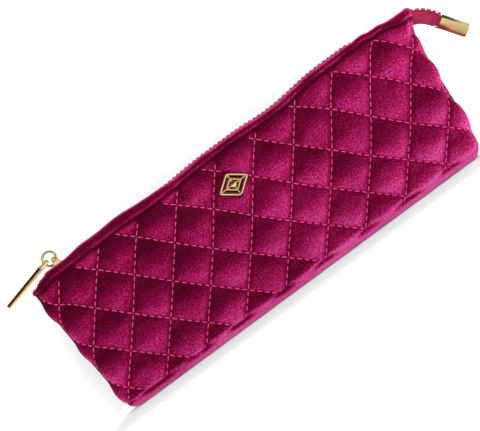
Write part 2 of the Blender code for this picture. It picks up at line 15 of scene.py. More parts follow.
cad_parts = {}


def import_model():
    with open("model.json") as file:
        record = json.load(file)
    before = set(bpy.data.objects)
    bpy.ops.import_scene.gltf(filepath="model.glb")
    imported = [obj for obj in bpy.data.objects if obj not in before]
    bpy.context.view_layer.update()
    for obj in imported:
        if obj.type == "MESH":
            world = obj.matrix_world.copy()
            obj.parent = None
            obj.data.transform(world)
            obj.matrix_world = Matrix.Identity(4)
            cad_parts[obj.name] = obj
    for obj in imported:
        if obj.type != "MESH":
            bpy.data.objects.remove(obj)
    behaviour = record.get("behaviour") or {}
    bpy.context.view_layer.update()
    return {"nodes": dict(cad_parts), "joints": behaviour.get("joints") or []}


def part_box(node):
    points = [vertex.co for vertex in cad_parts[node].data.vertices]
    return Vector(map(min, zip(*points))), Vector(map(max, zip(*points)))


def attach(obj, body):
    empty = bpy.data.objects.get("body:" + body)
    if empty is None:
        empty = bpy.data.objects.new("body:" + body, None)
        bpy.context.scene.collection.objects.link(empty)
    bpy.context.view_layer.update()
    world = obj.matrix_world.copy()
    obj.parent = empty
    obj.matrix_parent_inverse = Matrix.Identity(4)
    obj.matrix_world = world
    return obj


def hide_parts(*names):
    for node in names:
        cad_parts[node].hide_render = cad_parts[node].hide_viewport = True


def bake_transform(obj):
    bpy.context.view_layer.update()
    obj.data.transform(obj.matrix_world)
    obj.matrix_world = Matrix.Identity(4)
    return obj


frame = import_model()

MM = 0.001
FRONT, BACK = -1, 1
FACE_WORD = {FRONT: "front", BACK: "back"}


def node_box(name):
    low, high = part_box(name)
    return np.array(low) / MM, np.array(high) / MM


def joint_place(name):
    joint = next(j for j in frame["joints"] if j["name"] == name)
    return np.array(joint["pos_m"]) / MM


# ---- sizes read from the frame
VELVET_LOW, VELVET_HIGH = node_box("front_velvet")
LIP_HEIGHT = VELVET_HIGH[2]
TOP_LEFT, TOP_RIGHT = -VELVET_LOW[0], VELVET_HIGH[0]
BASE_DEPTH = node_box("base_velvet")[1][1]
FOLD_HEIGHT = joint_place("front_mouth")[2]
TEETH_LOW, TEETH_HIGH = node_box("front_zip_teeth")
TEETH_Z = (TEETH_LOW[2] + TEETH_HIGH[2]) / 2
TAPE_LOW, TAPE_HIGH = node_box("front_zip_tape")
STITCH_Z = (node_box("front_topstitch")[0][2] + node_box("front_topstitch")[1][2]) / 2
SLIDER_LOW, SLIDER_HIGH = node_box("slider_body")
EMBLEM_LOW, EMBLEM_HIGH = node_box("emblem")

# ---- sizes of the soft form
BASE_HALF_LENGTH = 108.2
END_TUCK = 3.2
LIP_DEPTH = 8.4
BULGE = 2.0
EDGE_ROLL = 6.5
LIP_ROLL = 1.5
LIP_INSIDE = 5.0
END_TURN = 0.5
EDGE_LIMIT = EDGE_ROLL * math.pi / 2 + END_TURN
QUILT_SINK = 1.2
PUFF_SCALE = 0.95
CLOTH_THICKNESS = 0.8
LINING_INSET = 4.2
TOOTH_PITCH = 2.64
BACK_TEETH_DROP = 0.30
LIP_THREAD_SINK = 0.35
FLOOR_GAP = 0.03
HEM_RISE = 0.30
CREASE_Z = STITCH_Z + 0.9
CREASE_DEPTH = 0.9
CREASE_WIDTH = 0.75
PLAIN_BAND = 4.6

# The quilting: squares on point, by the diagonals of one diamond, from one crossing.
CROSSING = np.array([-4.5, 68.8])
ACROSS = np.array([25.3, 1.2])
DOWN = np.array([1.9, -26.4])
CELLS = 20
STEP = 1.0 / CELLS


def smooth(t):
    t = np.clip(t, 0.0, 1.0)
    return t * t * (3 - 2 * t)


def lerp(a, b, t):
    return a + (b - a) * t


# ---- the bag's smooth form
def half_depth(z):
    t = np.clip(z / LIP_HEIGHT, 0.0, 1.05)
    return lerp(BASE_DEPTH, LIP_DEPTH, t) + BULGE * np.sin(np.pi * t)


def end_line(z, side):
    """x of a face's end at height z; the right end is drawn in below its corner."""
    top = TOP_RIGHT if side > 0 else TOP_LEFT + 1.2
    tuck = END_TUCK * smooth((z - 5) / 60) * (1 - smooth((z - 66) / 12)) if side > 0 else 0.0
    return side * (BASE_HALF_LENGTH + (top - BASE_HALF_LENGTH) * z / LIP_HEIGHT - tuck)


def crest_lift(x):
    """The zip's gentle wave, level where the slider stands at its two limits."""
    first = 2.2 * smooth((x + 88) / 70) + 1.0 * smooth((x + 30) / 26) * (1 - smooth((x - 12) / 22))
    second = 2.6 * smooth((x - 35) / 32)
    fall = smooth((x - 84) / 14)
    return (first + second) * (1 - fall)


def cloth_lift(x):
    """How much the cloth of the lip stands up: the zip's wave, and more beside both its ends."""
    left = 1.9 * smooth((x + 108) / 9) * (1 - smooth((x + 66) / 30))
    right = 4.2 * smooth((x - 85) / 10) * (1 - 0.8 * smooth((x - 101) / 13))
    return crest_lift(x) + left + right


def lip_top(x):
    """Height of the lip's crest: over the teeth at both ends, below them between, low at the left."""
    hide = 0.95 * (1 - smooth((x + 45) / 30))
    hide = hide + 0.9 * smooth((x + 92) / 14) * (1 - smooth((x + 45) / 20))
    tail_rise = 1.9 * smooth((x - 105) / 9)
    left = 1.8 * smooth((-x - TOP_LEFT + 8) / 8)
    return LIP_HEIGHT - 0.15 + hide + tail_rise - left


def flat_core(x, z):
    """Where the rolled edge starts for a flat point: its level part, the core point and how far off."""
    flat_z = np.minimum(z, lip_top(x) - LIP_ROLL)
    core_x = np.clip(x, end_line(flat_z, -1) + EDGE_ROLL, end_line(flat_z, 1) - EDGE_ROLL)
    core_z = np.maximum(flat_z, EDGE_ROLL)
    return flat_z, core_x, core_z, np.hypot(x - core_x, flat_z - core_z)


def edge_distance(x, z):
    return flat_core(x, z)[3]


def hold_inside(x, z, limit):
    """Bring points further than limit from the core back to that distance."""
    flat_z, core_x, core_z, away = flat_core(x, z)
    share = np.minimum(1.0, limit / np.maximum(away, 1e-9))
    return core_x + (x - core_x) * share, core_z + (flat_z - core_z) * share + (z - flat_z)


def form(x, z):
    """Flat cloth position to the smooth form: x, out and z, with rolled ends, base and lip."""
    turn = lip_top(x) - LIP_ROLL
    flat_z, core_x, core_z, away = flat_core(x, z)
    away_x, away_z = x - core_x, flat_z - core_z
    unit_x = away_x / np.maximum(away, 1e-9)
    unit_z = away_z / np.maximum(away, 1e-9)
    angle = np.minimum(away / EDGE_ROLL, np.pi / 2)
    beyond = np.clip(away - EDGE_ROLL * np.pi / 2, 0.0, END_TURN)
    px = core_x + unit_x * EDGE_ROLL * np.sin(angle)
    pz = core_z + unit_z * EDGE_ROLL * np.sin(angle)
    out = half_depth(pz) - EDGE_ROLL * (1 - np.cos(angle)) - beyond
    over = np.clip((z - turn) / LIP_ROLL, 0.0, np.pi)
    inside = np.clip(z - turn - np.pi * LIP_ROLL, 0.0, LIP_INSIDE)
    inward = LIP_ROLL * (1 - np.cos(over))
    px = px - unit_x * np.sin(angle) * inward
    out = out - np.cos(angle) * inward
    pz = pz + LIP_ROLL * np.sin(over) - inside
    pz = pz + cloth_lift(px) * smooth((pz - 30) / 38)
    return np.stack([px, out, pz], -1)


def offset_form(x, z, height):
    """The form, moved out along its own normal by height."""
    reach = 0.25
    x, z = hold_inside(x, z, EDGE_LIMIT)
    near_x, near_z = hold_inside(x, z, EDGE_LIMIT - 2 * reach)
    along = form(near_x + reach, near_z) - form(near_x - reach, near_z)
    up = form(near_x, near_z + reach) - form(near_x, near_z - reach)
    normal = np.cross(up, along)
    normal /= np.maximum(np.linalg.norm(normal, axis=-1, keepdims=True), 1e-9)
    return form(x, z) + normal * np.asarray(height)[..., None]


def to_world(points, side):
    """(x, out, z) to world millimetres on the front or the back."""
    height = np.maximum(points[..., 2], FLOOR_GAP)
    return np.stack([points[..., 0], side * points[..., 1], height], -1)


# ---- meshes
def add_object(name, data):
    obj = bpy.data.objects.new(name, data)
    bpy.context.scene.collection.objects.link(obj)
    return obj


def make_piece(name, points, faces):
    """A smooth object from points in millimetres."""
    mesh = bpy.data.meshes.new(name)
    mesh.from_pydata((np.asarray(points, float).reshape(-1, 3) * MM).tolist(), [], faces)
    mesh.validate()
    mesh.update()
    mesh.shade_smooth()
    return add_object(name, mesh)


def grid_faces(rows, columns, keep=None, flip=False):
    faces = []
    for j in range(rows - 1):
        for i in range(columns - 1):
            corners = [j * columns + i, j * columns + i + 1,
                       (j + 1) * columns + i + 1, (j + 1) * columns + i]
            if keep is None or any(keep[c] for c in corners):
                faces.append(corners[::-1] if flip else corners)
    return faces


def drop_loose(obj):
    shape = bmesh.new()
    shape.from_mesh(obj.data)
    loose = [v for v in shape.verts if not v.link_faces]
    bmesh.ops.delete(shape, geom=loose, context="VERTS")
    shape.to_mesh(obj.data)
    shape.free()


def store_vectors(obj, name, parts):
    """Keep a vector for each point; its three parts are grids or single numbers."""
    values = np.stack(np.broadcast_arrays(*parts), -1).astype(np.float32)
    attribute = obj.data.attributes.new(name, "FLOAT_VECTOR", "POINT")
    attribute.data.foreach_set("vector", values.ravel())


def assign(target, settings):
    for key, value in settings.items():
        setattr(target, key, value)


def modify(obj, kind, **settings):
    """Put one modifier on a piece and apply it."""
    assign(obj.modifiers.new(kind.lower(), kind), settings)
    graph = bpy.context.evaluated_depsgraph_get()
    mesh = bpy.data.meshes.new_from_object(obj.evaluated_get(graph))
    obj.modifiers.clear()
    obj.data = mesh


def thicken(obj, thickness, offset=-1.0):
    modify(obj, "SOLIDIFY", thickness=thickness * MM, offset=offset)


def subdivide(obj):
    modify(obj, "SUBSURF", levels=1, render_levels=1)


def rest_on_floor(obj):
    """Press anything that would sink through the floor flat against it."""
    for vertex in obj.data.vertices:
        vertex.co.z = max(vertex.co.z, FLOOR_GAP * MM)


def shade(obj, angle=40):
    obj.data.shade_smooth()
    obj.data.set_sharp_from_angle(angle=math.radians(angle))


def tube_points(path, radii, sides):
    """Rings of points round a path, one ring for each of its points."""
    path = np.asarray(path, float)
    tangents = np.gradient(path, axis=0)
    tangents /= np.maximum(np.linalg.norm(tangents, axis=1, keepdims=True), 1e-9)
    guide = np.array([0.0, 0.0, 1.0]) if abs(tangents[0][2]) < 0.9 else np.array([0.0, 1.0, 0.0])
    turns = 2 * np.pi * np.arange(sides) / sides
    rings = []
    for point, tangent, radius in zip(path, tangents, np.broadcast_to(radii, len(path))):
        first = np.cross(tangent, guide)
        first /= np.linalg.norm(first)
        second = np.cross(tangent, first)
        guide = -second if np.dot(-second, guide) > 0 else second
        rings.append(point + (np.outer(np.cos(turns), first) + np.outer(np.sin(turns), second)) * radius)
    return np.concatenate(rings)


def tube_faces(rings, sides, closed=False):
    """Faces of a tube with capped ends, or of a loop."""
    faces = []
    for ring in range(rings if closed else rings - 1):
        near, far = ring * sides, (ring + 1) % rings * sides
        for k in range(sides):
            following = (k + 1) % sides
            faces.append([near + k, near + following, far + following, far + k])
    if not closed:
        faces.append(list(range(sides))[::-1])
        faces.append(list(range((rings - 1) * sides, rings * sides)))
    return faces


def repeat_faces(faces, stride, count, flip):
    """The faces of count copies of a shape that has stride points."""
    order = -1 if flip else 1
    return [[copy * stride + index for index in face][::order] for copy in range(count) for face in faces]


# ---- the mouth's share of the swing
LENS_CENTRE = 1.0
LENS_HALF = 101.0
LENS_POWER = 1.5


def mouth_weight(x, z):
    """Share of the face's swing: full at mid lip, none at the ends and at the base."""
    lens = np.clip(1 - ((x - LENS_CENTRE) / LENS_HALF) ** 2, 0.0, 1.0) ** LENS_POWER
    return lens * smooth((z - FOLD_HEIGHT - 2) / 34)


def bend_with_mouth(obj, side):
    """Bake the piece's place into its mesh and work out, for each point, the lens-shaped share of an open
    zip; the share is not used.
    """
    axis = joint_place("front_mouth" if side == FRONT else "back_mouth")
    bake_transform(obj)
    points = np.array([v.co for v in obj.data.vertices]) / MM
    weights = mouth_weight(points[:, 0], points[:, 2]).astype(np.float32)


# ---- material helpers
class Value:
    """A socket that can be used in a sum; each sign adds a math node."""

    def __init__(self, nodes, socket):
        self.nodes = nodes
        self.socket = socket

    def __add__(self, other):
        return self.nodes.math("ADD", self, other)

    def __sub__(self, other):
        return self.nodes.math("SUBTRACT", self, other)

    def __rsub__(self, other):
        return self.nodes.math("SUBTRACT", other, self)

    def __mul__(self, other):
        return self.nodes.math("MULTIPLY", self, other)

    def __abs__(self):
        return self.nodes.math("ABSOLUTE", self)

    def clamped(self):
        self.socket.node.use_clamp = True
        return self


class Nodes:
    """The node tree of a new material or of the world, with short calls to add and join nodes."""

    def __init__(self, owner, shader="Principled BSDF"):
        owner.use_nodes = True
        self.owner = owner
        self.tree = owner.node_tree
        self.shader = self.tree.nodes[shader]

    def feed(self, socket, value):
        if isinstance(value, Value):
            self.tree.links.new(value.socket, socket)
        else:
            socket.default_value = value

    def add(self, kind, inputs=(), output=0, **settings):
        """A new node; returns one of its outputs."""
        node = self.tree.nodes.new("ShaderNode" + kind)
        assign(node, settings)
        for key, value in dict(inputs).items():
            self.feed(node.inputs[key], value)
        return Value(self, node.outputs[output])

    def set(self, **values):
        for key, value in values.items():
            self.feed(self.shader.inputs[key.replace("_", " ")], value)

    def math(self, operation, *values):
        return self.add("Math", enumerate(values), operation=operation)

    def dot(self, first, second):
        return self.add("VectorMath", {0: first, 1: second}, "Value", operation="DOT_PRODUCT")

    def stretch(self, vector, scale):
        return self.add("VectorMath", {0: vector, 1: scale}, operation="MULTIPLY")

    def split(self, vector):
        parts = self.add("SeparateXYZ", {0: vector}).socket.node.outputs
        return [Value(self, part) for part in parts]

    def stored(self, name):
        return self.add("Attribute", output="Vector", attribute_name=name)

    def place(self):
        """Object coordinates in millimetres."""
        return self.stretch(self.add("TexCoord", output="Object"), (1.0 / MM, 1.0 / MM, 1.0 / MM))

    def geometry(self, output):
        return self.add("NewGeometry", output=output)

    def ray(self, kind):
        return self.add("LightPath", output=f"Is {kind} Ray")

    def noise(self, vector, scale, detail, roughness):
        inputs = {"Vector": vector, "Scale": scale, "Detail": detail, "Roughness": roughness}
        return self.add("TexNoise", inputs, "Fac")

    def wave(self, vector, direction, scale, distortion=0.0):
        inputs = {"Vector": vector, "Scale": scale, "Distortion": distortion}
        return self.add("TexWave", inputs, "Fac", bands_direction=direction)

    def mix(self, factor, first, second):
        return self.add("Mix", {"Factor": factor, "A": first, "B": second}, "Result", data_type="RGBA")

    def ramp(self, factor, stops):
        result = self.add("ValToRGB", {"Fac": factor}, "Color")
        elements = result.socket.node.color_ramp.elements
        for index, (place, colour) in enumerate(stops):
            element = elements[index] if index < 2 else elements.new(place)
            element.position = place
            element.color = (*colour, 1.0)
        return result

    def bump(self, height, strength, distance):
        normal = self.add("Bump", {"Strength": strength, "Distance": distance * MM, "Height": height})
        self.set(Normal=normal)
        return normal


def new_material(name):
    return Nodes(bpy.data.materials.new(name))


# ---- materials
VELVET_STOPS = (
    (0.00, (0.045, 0.0000, 0.007)),
    (1.00, (0.760, 0.1050, 0.360)),
    (0.20, (0.110, 0.0006, 0.019)),
    (0.40, (0.225, 0.0030, 0.052)),
    (0.60, (0.390, 0.0150, 0.122)),
    (0.80, (0.600, 0.0530, 0.245)),
)
# strengths of the velvet's painted shade and sheen from its tilt, and of its painted sheen at the rim
NAP_SHADE_STRENGTH = 0.85
RIM_GLOW = 0.42
SEAM_SPACING = 18.3
STITCHES_PER_SIDE = 5


def seam_shade(nodes, uneven, height):
    """Painted shade in the V of the seams, broader one way, at the needle holes and under the hem."""
    first, second, sewn = nodes.split(nodes.stored("seams"))
    shades = []
    for across, along, depth, slope in ((first, second, 0.50, 0.42), (second, first, 0.62, 0.26)):
        off = nodes.math("PINGPONG", across, 0.5) * SEAM_SPACING
        stitch = nodes.math("PINGPONG", along * STITCHES_PER_SIDE, 0.5)
        gap = stitch * (SEAM_SPACING / STITCHES_PER_SIDE)
        hole = uneven + 0.55 - (off * off + gap * gap) * 3.6
        shades.append(nodes.math("MAXIMUM", hole, depth - off * slope).clamped())
    seams = nodes.math("MAXIMUM", *shades) * sewn
    hem = (0.95 - abs(height - CREASE_Z) * 1.1).clamped()
    return nodes.math("MAXIMUM", seams, hem)


def velvet():
    """Velvet whose pile lies towards the base, with light and shade painted into its colour: painted
    shade where the cloth tips up, painted sheen where it tips down.

    Light that bounces off it is taken as grey, so that it does not tint the paper round the bag.
    """
    nodes = new_material("fuchsia_velvet")
    cloth = nodes.stored("cloth")
    hem, crest, _ = nodes.split(nodes.stored("lip"))
    ribs = nodes.noise(nodes.stretch(cloth, (0.7, 2.2, 1.0)), 1.0, 2.0, 0.6)
    grain = nodes.noise(nodes.stretch(cloth, (0.95, 1.15, 1.0)), 1.0, 2.0, 0.75)
    patches = nodes.noise(nodes.stretch(cloth, (0.030, 0.045, 1.0)), 1.0, 2.0, 0.5)
    rows = nodes.wave(cloth, "Y", 0.36, 1.6)
    normal = nodes.bump(ribs + grain, 0.35, 0.30)
    tilt = nodes.split(normal)[2]
    # painted shade and sheen from the tilt: darker as the cloth tips up, lighter as it tips down
    lean = tilt * (1.2 - abs(tilt) * 0.5) * -NAP_SHADE_STRENGTH
    # painted sheen: the colour lightens where the cloth turns away from the view
    away = (1.0 - nodes.dot(normal, nodes.geometry("Incoming"))).clamped()
    rim = nodes.math("POWER", away, 1.5) * RIM_GLOW
    # painted shade and light across the whole bag: darker towards the top and the left end, lighter
    # towards the base and the right end
    slope = nodes.dot(cloth, (0.0009, -0.0018, 0.0)) + 0.49
    texture = (grain - 0.5) * 1.55 + (ribs - 0.5) * 0.45 + (patches - 0.5) * 0.6 + (rows - 0.5) * 0.16
    # the hem term darkens the lip's hem with painted shade; the crest term adds a painted highlight along
    # the lip's crest
    factor = lean + rim + slope + texture + hem * -0.34 + crest * 0.85
    # dark is painted shade in the seams' V, at the needle holes and under the hem
    dark = seam_shade(nodes, grain, nodes.split(cloth)[1])
    colour = nodes.ramp((factor * (0.8 - dark * 0.74)).clamped(), VELVET_STOPS)
    nodes.set(Base_Color=nodes.mix(nodes.ray("Diffuse"), colour, (0.06, 0.06, 0.06, 1.0)),
              Roughness=0.8, Specular_IOR_Level=0.04, Sheen_Weight=0.06, Sheen_Roughness=0.35,
              Sheen_Tint=(1.0, 0.30, 0.60, 1.0))
    return nodes.owner


def woven(name, dark, light, pitch, roughness, sheen, strength=0.5):
    """Plain or ribbed weave: two crossing waves, with a little painted shade between the raised crossings
    and random changes in the thread colour.
    """
    nodes = new_material(name)
    cloth = nodes.stored("cloth")
    across, along = [nodes.wave(cloth, direction, 0.314 / pitch, 0.4) for direction in "XY"]
    height = across * along
    blend = (height * 0.16 + nodes.noise(cloth, 0.35, 4.0, 0.6) * 0.9).clamped()
    nodes.bump(height, strength, 0.15)
    nodes.set(Base_Color=nodes.ramp(blend, ((0.15, dark), (0.85, light))), Roughness=roughness,
              Sheen_Weight=sheen, Sheen_Roughness=0.4, Specular_IOR_Level=0.3)
    return nodes.owner


def thread(name, dark, light):
    """Two-ply thread: a fine twist along the stitch, with painted shade in the twist's grooves."""
    nodes = new_material(name)
    twist = nodes.wave(nodes.place(), "DIAGONAL", 1.1)
    nodes.bump(twist, 0.4, 0.08)
    nodes.set(Base_Color=nodes.ramp(twist, ((0.0, dark), (1.0, light))), Roughness=0.55,
              Specular_IOR_Level=0.15)
    return nodes.owner


def nylon(name, dark, light):
    """Dyed moulded teeth, brownish where the dye is thin and where they have rubbed."""
    nodes = new_material(name)
    patches = nodes.noise(nodes.place(), 0.9, 3.0, 0.6)
    rubbed = (nodes.geometry("Pointiness") - 0.5) * 5.0
    nodes.bump(patches, 0.25, 0.1)
    nodes.set(Base_Color=nodes.ramp((patches + rubbed).clamped(), ((0.25, dark), (0.8, light))),
              Roughness=0.45, Specular_IOR_Level=0.25)
    return nodes.owner


def plated(name, colour, worn, roughness=0.16):
    """Polished plating with faint brushing, smudges and duller rubbed edges."""
    nodes = new_material(name)
    place = nodes.place()
    brushed = nodes.noise(nodes.stretch(place, (0.4, 6.0, 6.0)), 1.0, 4.0, 0.6)
    smudges = nodes.noise(place, 0.35, 3.0, 0.6)
    rubbed = ((nodes.geometry("Pointiness") - 0.52) * 4.0).clamped()
    nodes.bump(brushed, 0.06, 0.05)
    nodes.set(Base_Color=nodes.ramp(rubbed + smudges * 0.25, ((0.0, colour), (1.0, worn))),
              Roughness=smudges * 0.16 + (roughness - 0.06), Metallic=1.0)
    return nodes.owner


MATERIALS = {
    "fuchsia_velvet": velvet(),
    "lining": woven("rose_lining", (0.16, 0.012, 0.06), (0.42, 0.06, 0.19), 0.6, 0.42, 0.15),
    # the tape's dark and light colours are its shaded and its lit tone, so its mottling paints light and
    # shade
    "zip_tape": woven("woven_tape", (0.16, 0.003, 0.024), (0.44, 0.017, 0.088), 0.55, 0.7, 0.1, 0.6),
    "thread": thread("pink_thread", (0.62, 0.032, 0.165), (0.95, 0.090, 0.330)),
    "zip_teeth": nylon("dyed_nylon", (0.18, 0.016, 0.030), (0.50, 0.030, 0.115)),
    "pale_gold": plated("pale_gold", (0.68, 0.48, 0.20), (0.84, 0.66, 0.38)),
    "nickel_steel": plated("nickel_steel", (0.55, 0.53, 0.50), (0.70, 0.68, 0.65), 0.3),
}


def dress(obj, slot):
    """Give a piece the material of the record's slot it stands for."""
    obj.data.materials.clear()
    obj.data.materials.append(MATERIALS[slot])
    return obj


def finish_piece(obj, slot, body, *nodes):
    """Dress a stiff piece, let it ride on its body and hide the CAD nodes it stands for."""
    dress(obj, slot)
    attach(obj, body)
    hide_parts(*nodes)


def finish_face(obj, slot, side, *nodes):
    """Dress a piece of one face, bake its place and hide the CAD nodes it stands for."""
    dress(obj, slot)
    bend_with_mouth(obj, side)
    if nodes:
        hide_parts(*(f"{FACE_WORD[side]}_{node}" for node in nodes))


# ---- quilted cloth
SHEET_LEFT, SHEET_RIGHT = -5.1, 5.8
SHEET_LOW, SHEET_HIGH = -3.35, 1.05
SIM_UNIT = 0.26
SIM_FRAMES = 24
RELAX_PASSES = 5
SIM_SETTINGS = {
    "vertex_group_mass": "stitched", "quality": 8, "mass": 0.3, "tension_stiffness": 15,
    "compression_stiffness": 15, "shear_stiffness": 5, "bending_stiffness": 0.05,
    "use_pressure": True, "uniform_pressure_force": 6, "shrink_min": -0.06,
}
FACES_APART = 7.0


def lattice():
    """Grid of cloth positions in diamonds: columns across, rows up, zero at one crossing."""
    columns = np.arange(round(SHEET_LEFT * CELLS), round(SHEET_RIGHT * CELLS) + 1)
    rows = np.arange(round(SHEET_LOW * CELLS), round(SHEET_HIGH * CELLS) + 1)
    return np.meshgrid(columns, rows)


def seam_mask(column, row):
    return ((column + row) % CELLS == 0) | ((column - row) % CELLS == 0)


def simulate_puffs(column, row):
    """Cloth pinned on the stitch lines and blown up between them; in diamonds."""
    rows, columns = column.shape
    flat = np.stack([column * STEP, row * STEP, np.zeros(column.shape)], -1) * SIM_UNIT
    pinned = seam_mask(column, row)
    pinned[0], pinned[-1], pinned[:, 0], pinned[:, -1] = True, True, True, True
    start = flat.copy()
    ripple = np.random.default_rng(11).uniform(0.0, 0.002, column.shape)
    start[..., 2] = np.where(pinned, 0.0, ripple)
    mesh = bpy.data.meshes.new("quilt_sim")
    mesh.from_pydata(start.reshape(-1, 3).tolist(), [], grid_faces(rows, columns))
    sheet = add_object("quilt_sim", mesh)
    group = sheet.vertex_groups.new(name="stitched")
    group.add(np.flatnonzero(pinned.ravel()).tolist(), 1.0, "ADD")
    cloth = sheet.modifiers.new("cloth", "CLOTH")
    assign(cloth.settings, SIM_SETTINGS)
    cloth.settings.effector_weights.gravity = 0
    cloth.collision_settings.use_collision = False
    assign(cloth.point_cache, {"frame_start": 1, "frame_end": SIM_FRAMES})
    for number in range(1, SIM_FRAMES + 1):
        bpy.context.scene.frame_set(number)
    result = bpy.data.meshes.new_from_object(sheet.evaluated_get(bpy.context.evaluated_depsgraph_get()))
    points = np.array([v.co for v in result.vertices]).reshape(rows, columns, 3)
    bpy.data.objects.remove(sheet, do_unlink=True)
    bpy.context.scene.frame_set(1)
    return (points - flat) / SIM_UNIT


def relax(moved, pinned):
    """Ease the sharpest creases out of the blown cloth; the stitch lines stay put."""
    for _ in range(RELAX_PASSES):
        around = sum(np.roll(moved, shift, axis) for shift in (-1, 1) for axis in (0, 1)) / 4
        moved = np.where(pinned[..., None], moved, (moved + around) / 2)
    return moved


def pillows(first, second):
    """Soft square bumps, 0 to 1, with a period of one in both seam directions."""
    return np.abs(np.sin(np.pi * first) * np.sin(np.pi * second)) ** 0.55


def cloth_place(across, up):
    """Diamond coordinates to flat cloth x and z."""
    x = CROSSING[0] + across * ACROSS[0] - up * DOWN[0]
    z = CROSSING[1] + across * ACROSS[1] - up * DOWN[1]
    return x, z


def finer(values):
    """Twice the steps along both axes, on a curve through the same points."""
    for axis in (0, 1):
        known = np.moveaxis(values, axis, 0)
        before = np.concatenate([known[:1], known[:-2]])
        after = np.concatenate([known[2:], known[-1:]])
        result = np.empty((2 * len(known) - 1, *known.shape[1:]))
        result[::2] = known
        result[1::2] = (9 * (known[:-1] + known[1:]) - before - after) / 16
        values = np.moveaxis(result, 0, axis)
    return values


def emblem_ring(x, z):
    """1 on the emblem's outline, less inside it and more outside."""
    centre = (EMBLEM_LOW + EMBLEM_HIGH) / 2
    size = (EMBLEM_HIGH - EMBLEM_LOW) / 2
    return np.abs(x - centre[0]) / size[0] + np.abs(z - centre[2]) / size[2]


def quilt_height(x, z, puff, side):
    """Height of the velvet over the form: puffs, the lip's hem, the plain base band, the dent."""
    hem = smooth((z - CREASE_Z - 0.1) / 0.9)
    quilted = puff - QUILT_SINK
    height = quilted * (1 - hem) + (HEM_RISE + 0.18 * puff) * hem
    height = height - CREASE_DEPTH * np.exp(-((z - CREASE_Z) / CREASE_WIDTH) ** 2)
    band = smooth((PLAIN_BAND - z) / 2.2)
    fold = 0.75 * np.exp(-((z - PLAIN_BAND + 0.6) / 1.0) ** 2) * (0.7 + 0.3 * np.sin(x * 0.12))
    height = height * (1 - band) - fold + 0.25 * band * np.sin(x * 0.31 + 1.0) * np.sin(x * 0.07)
    edge = smooth((edge_distance(x, z) - EDGE_ROLL * 1.35) / 1.9)
    height = height * (1 - edge) + edge * hem * 0.9
    if side == FRONT:
        height = np.minimum(height, -0.15 + 2.6 * np.clip(emblem_ring(x, z) - 1.0, 0.0, None))
    return height


def quilted_face(side, moved, column, row):
    """One face's velvet: the quilted sheet laid over the form and folded in at the lip."""
    x, z = cloth_place(column * STEP + moved[..., 0], row * STEP + moved[..., 1])
    puff = moved[..., 2] * abs(DOWN[1]) * PUFF_SCALE
    points = to_world(offset_form(x, z, quilt_height(x, z, puff, side)), side)
    inside_limit = lip_top(x) - LIP_ROLL + np.pi * LIP_ROLL + LIP_INSIDE
    keep = (edge_distance(x, z) < EDGE_LIMIT) & (z < inside_limit)
    faces = grid_faces(*column.shape, keep=keep.ravel(), flip=side == BACK)
    obj = make_piece(f"{FACE_WORD[side]}_quilted_velvet", points, faces)
    store_vectors(obj, "cloth", (x, z, FACES_APART * side))
    # the stitched band, where the velvet gets painted shade in its seams
    sewn = smooth((z - PLAIN_BAND + 0.2) / 0.5) * smooth((CREASE_Z + 0.4 - z) / 0.5)
    store_vectors(obj, "seams", ((column + row) * STEP, (column - row) * STEP, sewn))
    # masks for the velvet's painted shade on the lip's hem and its painted highlight along the lip's
    # crest
    hem = smooth((z - CREASE_Z) / 0.6) * (0.3 + 0.7 * np.exp(-((z - CREASE_Z - 0.9) / 1.1) ** 2))
    crest = smooth((z - lip_top(x) + LIP_ROLL * 0.9) / 1.2)
    store_vectors(obj, "lip", (hem * (1 - crest), crest, 0.0))
    drop_loose(obj)
    thicken(obj, CLOTH_THICKNESS)
    rest_on_floor(obj)
    finish_face(obj, "fuchsia_velvet", side, "velvet", "batting")


# ---- stitching
STITCH_LENGTH = 2.7
STITCH_GAP = 0.75
STITCH_RISE = 0.12
STITCH_SWAY = 0.06
THREAD_RADIUS = 0.27
THREAD_RADII = THREAD_RADIUS * np.array([0.55, 0.95, 1.0, 0.95, 0.55])
THREAD_ARCH = np.array([-0.22, 0.14, 0.22, 0.14, -0.22])
THREAD_SIDES = 6


def stitches(name, lines, side, top, lift):
    """Stitches along flat cloth lines, each given by its two ends, up to the height top.

    Each stitch is a short tube that dives into the cloth at both ends.
    """
    rings = []
    jitter = np.random.default_rng(5)
    for first, last in lines:
        first, last = np.asarray(first, float), np.asarray(last, float)
        length = np.linalg.norm(last - first)
        pieces = int(length / (STITCH_LENGTH + STITCH_GAP))
        for number in range(pieces):
            begin = (number + 0.5) / pieces - 0.5 * STITCH_LENGTH / length
            spots = begin + np.linspace(0, 1, 5) * STITCH_LENGTH / length
            sway = jitter.normal(0.0, STITCH_SWAY, 2)
            flat = first + np.outer(spots, last - first) + np.outer(np.linspace(-1, 1, 5), sway)
            x, z = flat[:, 0], flat[:, 1]
            if z[2] > top or not stitch_allowed(x[2], z[2], side):
                continue
            height = quilt_height(x, z, np.zeros(5), side) + lift + THREAD_ARCH
            path = to_world(offset_form(x, z, height), side)
            rings.append(tube_points(path, THREAD_RADII, THREAD_SIDES))
    faces = repeat_faces(tube_faces(5, THREAD_SIDES), 5 * THREAD_SIDES, len(rings), False)
    return make_piece(f"{FACE_WORD[side]}_{name}", rings, faces)


def stitch_allowed(x, z, side):
    """Stitching stops at the plain band and the ends, and passes under the emblem."""
    if edge_distance(x, z) > EDGE_ROLL * 1.5 or z < PLAIN_BAND - 0.5:
        return False
    return side == BACK or emblem_ring(x, z) > 1.12


def quilt_lines():
    """Both families of stitch lines, cut at every crossing."""
    def crossing(total, difference):
        return cloth_place((total + difference) / 2, (total - difference) / 2)

    lines = []
    for total in range(-13, 14):
        for difference in range(-13, 14):
            for far in (crossing(total + 1, difference), crossing(total, difference + 1)):
                lines.append((crossing(total, difference), far))
    return lines


